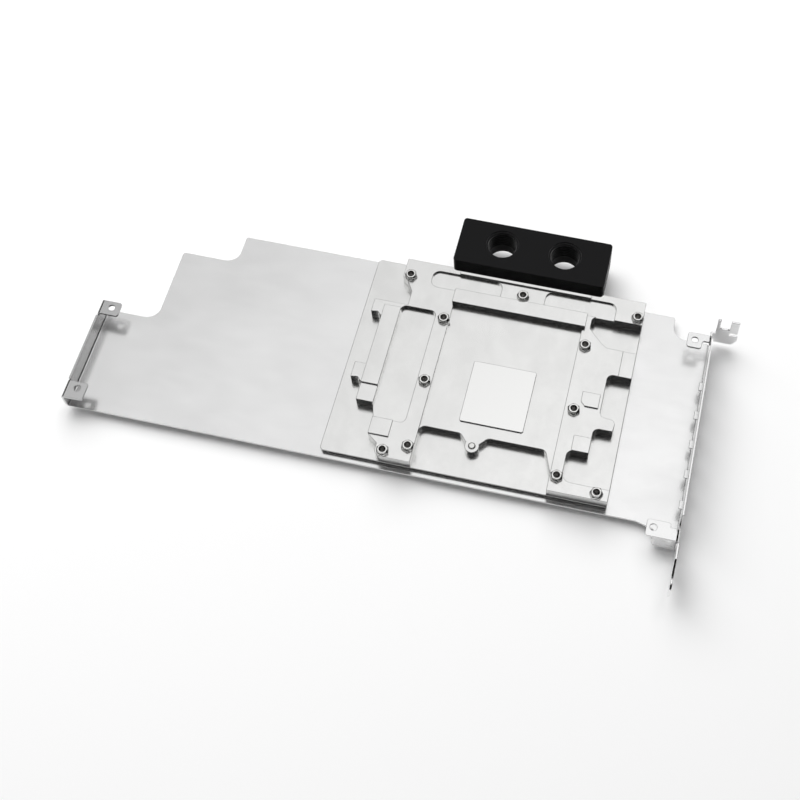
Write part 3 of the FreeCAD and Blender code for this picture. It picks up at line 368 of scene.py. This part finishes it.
EDGE_WIDTHS = {
    "cold_plate": 0.22, "block_top": 0.25, "cover_sheet": 0.15, "io_bracket": 0.18, "terminal": 0.2,
}
for name, width_mm in EDGE_WIDTHS.items():
    item = broken_edges(name, width_mm, FINISH[name])
    print(item.name, len(item.data.polygons), "faces")

# The photograph shows no dark image of the terminal in the nickel in front of it.
bpy.data.objects["terminal_edges"].visible_glossy = False


# %% [markdown]
# ## Standoffs
# A standoff is turned from hexagonal brass bar: a stud below, a hexagon with chamfered corners, and a
# round boss with an M3 thread in it. It could be made with booleans, but rings of points give clean
# faces, and can follow the whole section: up the stud, over the hexagon and the boss, and down the
# bore. Every ring has as many points, so each joins the next by a band of quads.

# %% Rings of points
AROUND = 72


def circle(radius, height):
    """A ring of points about an upright axis."""
    angles = [math.tau * index / AROUND for index in range(AROUND)]
    return [(radius * math.cos(angle), radius * math.sin(angle), height) for angle in angles]


def hexagon(flats, turn, height, cone_radius=None):
    """A hexagon's outline. With a cone radius, its corners drop by a 30 degree chamfer."""
    points = []
    for index in range(AROUND):
        angle = 360 * index / AROUND
        reach = flats / 2 / math.cos(math.radians((angle % 60) - 30))
        drop = 0 if cone_radius is None else max(0, reach - cone_radius) * math.tan(math.radians(30))
        heading = math.radians(angle + turn)
        points.append((reach * math.cos(heading), reach * math.sin(heading), height - drop))
    return points


def turned(rings, turn):
    """The rings turned by the hexagon's angle, so that they join it without a twist."""
    across, along = math.cos(math.radians(turn)), math.sin(math.radians(turn))
    return [[(x * across - y * along, x * along + y * across, z) for x, y, z in ring] for ring in rings]


def ring_piece(name, rings, centre, material):
    """A closed piece of rings of points about an upright axis, joined from the first to the last."""
    mesh = bmesh.new()
    rows = []
    for ring in rings:
        rows.append([mesh.verts.new([(c + p) * MM for c, p in zip((*centre, 0), point)]) for point in ring])
    for low_row, high_row in zip(rows, rows[1:]):
        for index in range(AROUND):
            following = (index + 1) % AROUND
            mesh.faces.new((low_row[index], low_row[following], high_row[following], high_row[index]))
    mesh.faces.new(list(reversed(rows[0])))
    mesh.faces.new(rows[-1])
    item = show_mesh(name, mesh, material)
    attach(item, "root")
    return item


print(AROUND, "points a ring")


# %% [markdown]
# The section is a list of radii and heights. The M3 thread has its real pitch of 0.5 mm, as grooves
# side by side, because a helix that fine looks the same. Below the thread the tap drill's hole goes
# on; that depth, and painted shade on the bore's faces, make the bore dark.

# %% One standoff
HEX_FLATS = 5.0
HEX_CHAMFER = 2.42
STUD_RADIUS = 1.5
STUD_LENGTH = 2.4
BOSS_HEIGHT = 1.0
M3_PITCH = 0.5
M3_GROOVE = 1.42
M3_CREST = 1.27
M3_TURNS = 5
DRILL_RADIUS = 1.2


def boss_section(shoulder, top):
    """The boss, up its wall and over its rounded rim to the bore's chamfer."""
    return [
        (2.1, shoulder), (2.2, shoulder + 0.15), (2.2, top - 0.2), (2.15, top - 0.07), (2.04, top),
        (1.5, top), (1.44, top - 0.04),
    ]


def bore_section(foot, top):
    """The thread's grooves from the top down, then the drilled hole."""
    section = []
    for turn in range(M3_TURNS):
        level = top - 0.12 - M3_PITCH * turn
        section += [(M3_GROOVE, level), (M3_CREST, level - 0.2)]
        section += [(M3_CREST, level - 0.25), (M3_GROOVE, level - 0.45)]
    return section + [(DRILL_RADIUS, top - 2.8), (DRILL_RADIUS, foot + 0.6)]


def standoff(name, turn):
    low, high = (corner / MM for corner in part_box(name))
    centre = ((low[0] + high[0]) / 2, (low[1] + high[1]) / 2)
    foot, top = low[2], high[2]
    seat, shoulder = foot + STUD_LENGTH, top - BOSS_HEIGHT
    stud = [circle(STUD_RADIUS, foot), circle(STUD_RADIUS, seat)]
    body = [hexagon(HEX_FLATS, turn, seat), hexagon(HEX_FLATS, turn, shoulder, HEX_CHAMFER)]
    section = [(HEX_CHAMFER, shoulder)] + boss_section(shoulder, top) + bore_section(foot, top)
    upper = [circle(radius, height) for radius, height in section]
    rings = turned(stud, turn) + body + turned(upper, turn)
    return ring_piece(name + "_turned", rings, centre, nickel_turned)


print("hexagon of", HEX_FLATS, "mm across its flats")


# %% [markdown]
# The faces on the bore's wall and bottom get a darker metal, which is painted shade. Each standoff was
# screwed down to an angle of its own, so the angles below are read from the photograph, one by one.

# %% Eleven standoffs
TURNS = {
    "standoff_01": 0, "standoff_02": 53.5, "standoff_03": 50, "standoff_04": 40, "standoff_05": 33,
    "standoff_06": 56.5, "standoff_07": 38, "standoff_08": 55, "standoff_09": 43, "standoff_10": 39,
    "standoff_11": 2,
}


def paint_shade_faces(item, chosen):
    """Gives the chosen faces of a piece the darker metal that paints shade."""
    item.data.materials.append(painted_shade_metal)
    for face in item.data.polygons:
        if chosen(face):
            face.material_index = 1


def in_bore(item):
    """A test of whether a face of a standoff lies on the wall or at the bottom of its bore."""
    corners = [vertex.co for vertex in item.data.vertices]
    middle = sum(corners, Vector()) / len(corners)
    low, high = min(corner.z for corner in corners), max(corner.z for corner in corners)

    def chosen(face):
        reach = (face.center - middle).to_2d().length
        return reach < (M3_GROOVE + 0.01) * MM and low + 0.1 * MM < face.center.z < high - 0.05 * MM
    return chosen


for name, turn in TURNS.items():
    item = standoff(name, turn)
    # Painted shade: the bore's wall and bottom get the darker metal.
    paint_shade_faces(item, in_bore(item))
    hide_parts(name)
print(len(TURNS), "standoffs of", len(item.data.polygons), "faces")


# %% [markdown]
# ## Centre screw
# The tip of an M3 screw shows in a small lobe in front of the processor pad. Its end is chamfered
# right through the thread; painted shade on the chamfer makes the dark ring round the bright tip.
# One flat bevel makes it.

# %% Screw tip
SCREW_CHAMFER = 0.45
item = broken_edges("centre_screw", SCREW_CHAMFER, steel, steps=1)
# Painted shade: the chamfer's faces get the darker metal.
paint_shade_faces(item, lambda face: 0.3 < face.normal.z < 0.9)
print(item.name, len(item.data.polygons), "faces")


# %% [markdown]
# ## Port threads
# The two ports have a G1/4 pipe thread, 1.337 mm a turn. It is wide enough to show, so it is a real
# helix: one section of the ridge, carried round and up the wall of the bore.

# %% Port threads
PIPE_PITCH = 1.337
PIPE_DEPTH = 0.4
THREAD_START = 1.6
THREAD_END = 9.8


def port_thread(name, centre, radius, low, high):
    """A helical ridge on the wall of a bore."""
    mesh = bmesh.new()
    section = [(0.05, -0.46), (-PIPE_DEPTH, -0.08), (-PIPE_DEPTH, 0.08), (0.05, 0.46)]
    rows = []
    for index in range(round((high - low) / PIPE_PITCH * AROUND) + 1):
        angle = math.tau * index / AROUND
        level = low + PIPE_PITCH * index / AROUND
        row = []
        for out, rise in section:
            x = centre[0] + (radius + out) * math.cos(angle)
            y = centre[1] + (radius + out) * math.sin(angle)
            row.append(mesh.verts.new((x * MM, y * MM, (level + rise * PIPE_PITCH) * MM)))
        rows.append(row)
    for first, second in zip(rows, rows[1:]):
        for index in range(len(section)):
            following = (index + 1) % len(section)
            mesh.faces.new((first[index], first[following], second[following], second[index]))
    mesh.faces.new(rows[0])
    mesh.faces.new(list(reversed(rows[-1])))
    bmesh.ops.recalc_face_normals(mesh, faces=mesh.faces)
    item = show_mesh(name, mesh, acetal)
    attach(item, "root")
    item.visible_glossy = False
    return item


terminal_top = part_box("terminal")[1][2] / MM
for mount in frame["record"]["mounts"]:
    if mount["name"] in ("inlet_port", "outlet_port"):
        x, y, z = (value / MM for value in mount["pos_m"])
        low, high = terminal_top - THREAD_END, terminal_top - THREAD_START
        item = port_thread(mount["name"] + "_thread", (x, y), mount["dims"]["r_mm"], low, high)
        print(item.name, len(item.data.polygons), "faces")


# %% [markdown]
# ## Table
# The part lies over a white table that keeps its shadow. The shadow in the photograph is dark at the
# part's edge and fades slowly, as under a thing that is raised, so the table is 3 mm below the part.
# A trace of light of its own, seen only directly or in a mirror, lifts the deepest shadow a little.

# %% Table
TABLE_DROP = 3
TABLE_HALF = 6000
TABLE_GLOW = 0.03


def quad(name, corners, material):
    """One flat face that belongs to the studio."""
    mesh = bpy.data.meshes.new(name)
    mesh.from_pydata([tuple(c * MM for c in corner) for corner in corners], [], [(0, 1, 2, 3)])
    item = bpy.data.objects.new(name, mesh)
    item.data.materials.append(material)
    bpy.context.scene.collection.objects.link(item)
    item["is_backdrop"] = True
    return item


table_top, shader = new_material("White table")
path = add(table_top, "LightPath").outputs
seen = add(table_top, "Math", LARGER, in_0=path["Is Camera Ray"], in_1=path["Is Glossy Ray"]).outputs[0]
seen = add(table_top, "Math", LARGER, in_0=seen, in_1=path["Is Transmission Ray"]).outputs[0]
glow = add(table_top, "Math", MULTIPLY, in_0=seen, in_1=TABLE_GLOW).outputs[0]
join(table_top, shader, "Base_Color", linear("f7f7f7"))
join(table_top, shader, "Roughness", 0.9)
join(table_top, shader, "Specular_IOR_Level", 0.0)
join(table_top, shader, "Emission_Color", (1, 1, 1, 1))
join(table_top, shader, "Emission_Strength", glow)
ground = cad_low.z / MM - TABLE_DROP
corners = [(x * TABLE_HALF, y * TABLE_HALF, ground) for x, y in ((-1, -1), (1, -1), (1, 1), (-1, 1))]
quad("table", corners, table_top)
print("table at", round(ground, 2), "mm")


# %% [markdown]
# ## Sky
# The sky is white where the camera sees it, and lights the part with a fifth of that. A metal mirrors
# more of it than that: the bright metal of the photograph is lighter at its right and front, so the
# mirrored sky rises that way, from 0.7 to 1.2.

# %% Sky
SCATTERED = 0.2
SKY_MIDDLE = 1.31
SKY_EAST = 0.65
SKY_NORTH = -0.59
SKY_RANGE = (0.7, 1.2)

world = bpy.data.worlds.new("White sky")
bpy.context.scene.world = world
world.use_nodes = True
sky = world.node_tree.nodes["Background"]
heading = add(world, "SeparateXYZ", Vector=add(world, "TexCoord").outputs["Generated"])
east = add(world, "Math", MULTIPLY, in_0=heading.outputs[0], in_1=SKY_EAST).outputs[0]
north = add(world, "Math", MULTIPLY, in_0=heading.outputs[1], in_1=SKY_NORTH).outputs[0]
slope = add(world, "Math", ADD, in_0=east, in_1=north).outputs[0]
slope = add(world, "Math", ADD, in_0=slope, in_1=SKY_MIDDLE).outputs[0]
low, high = SKY_RANGE
slope = add(world, "MapRange", in_0=slope, in_1=low, in_2=high, in_3=low, in_4=high).outputs[0]

path = add(world, "LightPath").outputs
direct = add(world, "Math", LARGER, in_0=path["Is Camera Ray"], in_1=path["Is Transmission Ray"]).outputs[0]
direct = add(world, "Math", MULTIPLY, in_0=direct, in_1=1.0 - SCATTERED).outputs[0]
extra = add(world, "Math", SUBTRACT, in_0=slope, in_1=SCATTERED).outputs[0]
mirrored = add(world, "Math", MULTIPLY, in_0=path["Is Glossy Ray"], in_1=extra).outputs[0]
strength = add(world, "Math", ADD, in_0=mirrored, in_1=direct).outputs[0]
strength = add(world, "Math", ADD, in_0=strength, in_1=SCATTERED).outputs[0]
join(world, sky, "Color", (1, 1, 1, 1))
join(world, sky, "Strength", strength)
print("mirrored sky from", low, "to", high)


# %% [markdown]
# ## Dark cards
# Bright metal shows only what stands round it. In the photograph its walls are nearly black while its
# top faces are white, as dark cards round a table give. The cards here are seen by mirrors alone: they
# throw no shadow, and the camera doesn't see them.

# %% Dark cards
CARD_DISTANCE = 1500
card_paint, shader = new_material("Black card")
join(card_paint, shader, "Base_Color", linear("1c1c1c"))
join(card_paint, shader, "Roughness", 1.0)
join(card_paint, shader, "Specular_IOR_Level", 0.0)


def card(name, azimuth, low, high, spread):
    """A flat card: the azimuth of its middle, from -Y towards +X, its low and high edge, half its width."""
    corners = []
    for turn, rise in ((-spread, low), (spread, low), (spread, high), (-spread, high)):
        angle, lift = math.radians(azimuth + turn), math.radians(rise)
        x, y, z = math.sin(angle) * math.cos(lift), -math.cos(angle) * math.cos(lift), math.sin(lift)
        corners.append((x * CARD_DISTANCE, y * CARD_DISTANCE, z * CARD_DISTANCE))
    item = quad(name, corners, card_paint)
    item.visible_camera = False
    item.visible_diffuse = False
    item.visible_shadow = False
    return item


card("card_front", 0, 2, 82, 72)
card("card_left", 250, 2, 36, 45)
card("card_right", 98, 2, 66, 44)
card("card_back", 180, 2, 26, 50)


# %% [markdown]
# ## Lamp
# One large soft lamp stands high behind the part, to its left, so the shadow falls to the front and
# the right and fades over about 10 mm. Its power follows from its distance and the brightness wanted.

# %% Lamp
def area_lamp(name, place, target, size, level):
    """A soft square lamp. level is what a small lamp of its power gives a white surface facing it."""
    data = bpy.data.lights.new(name, "AREA")
    data.shape = "SQUARE"
    data.size = size * MM
    item = bpy.data.objects.new(name, data)
    bpy.context.scene.collection.objects.link(item)
    item.location = Vector(place) * MM
    aim = Vector(target) * MM - item.location
    item.rotation_euler = aim.to_track_quat("-Z", "Y").to_euler()
    data.energy = level * math.pi * math.pi * aim.length ** 2
    item.visible_glossy = False
    return item


lamp = area_lamp("key_lamp", (-430, 700, 1180), (-40, 10, 0), 1800, 1.62)
print(lamp.name, "of", round(lamp.data.energy, 1), "W")


# %% [markdown]
# ## Camera
# A 60 mm lens from high in front of the block's right half. The picture is a crop from a wider one,
# so the lens is shifted by the crop's offset. The place and the angles were fitted to the standoffs.

# %% Camera
scene = bpy.context.scene
lens = bpy.data.cameras.new("camera")
lens.lens = 60.434
lens.sensor_width = 36.0
lens.shift_x = -0.14329
lens.shift_y = -0.07625
lens.clip_start = 0.02
lens.clip_end = 30
camera = bpy.data.objects.new("camera", lens)
scene.collection.objects.link(camera)
camera.location = Vector((59.19, -259.81, 523.46)) * MM
camera.rotation_euler = [math.radians(angle) for angle in (29.7844, -0.4680, 12.2167)]
scene.camera = camera
scene.view_settings.view_transform = "Standard"
print("camera", tuple(round(value, 4) for value in camera.location))


# %% Sizes
low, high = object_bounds()
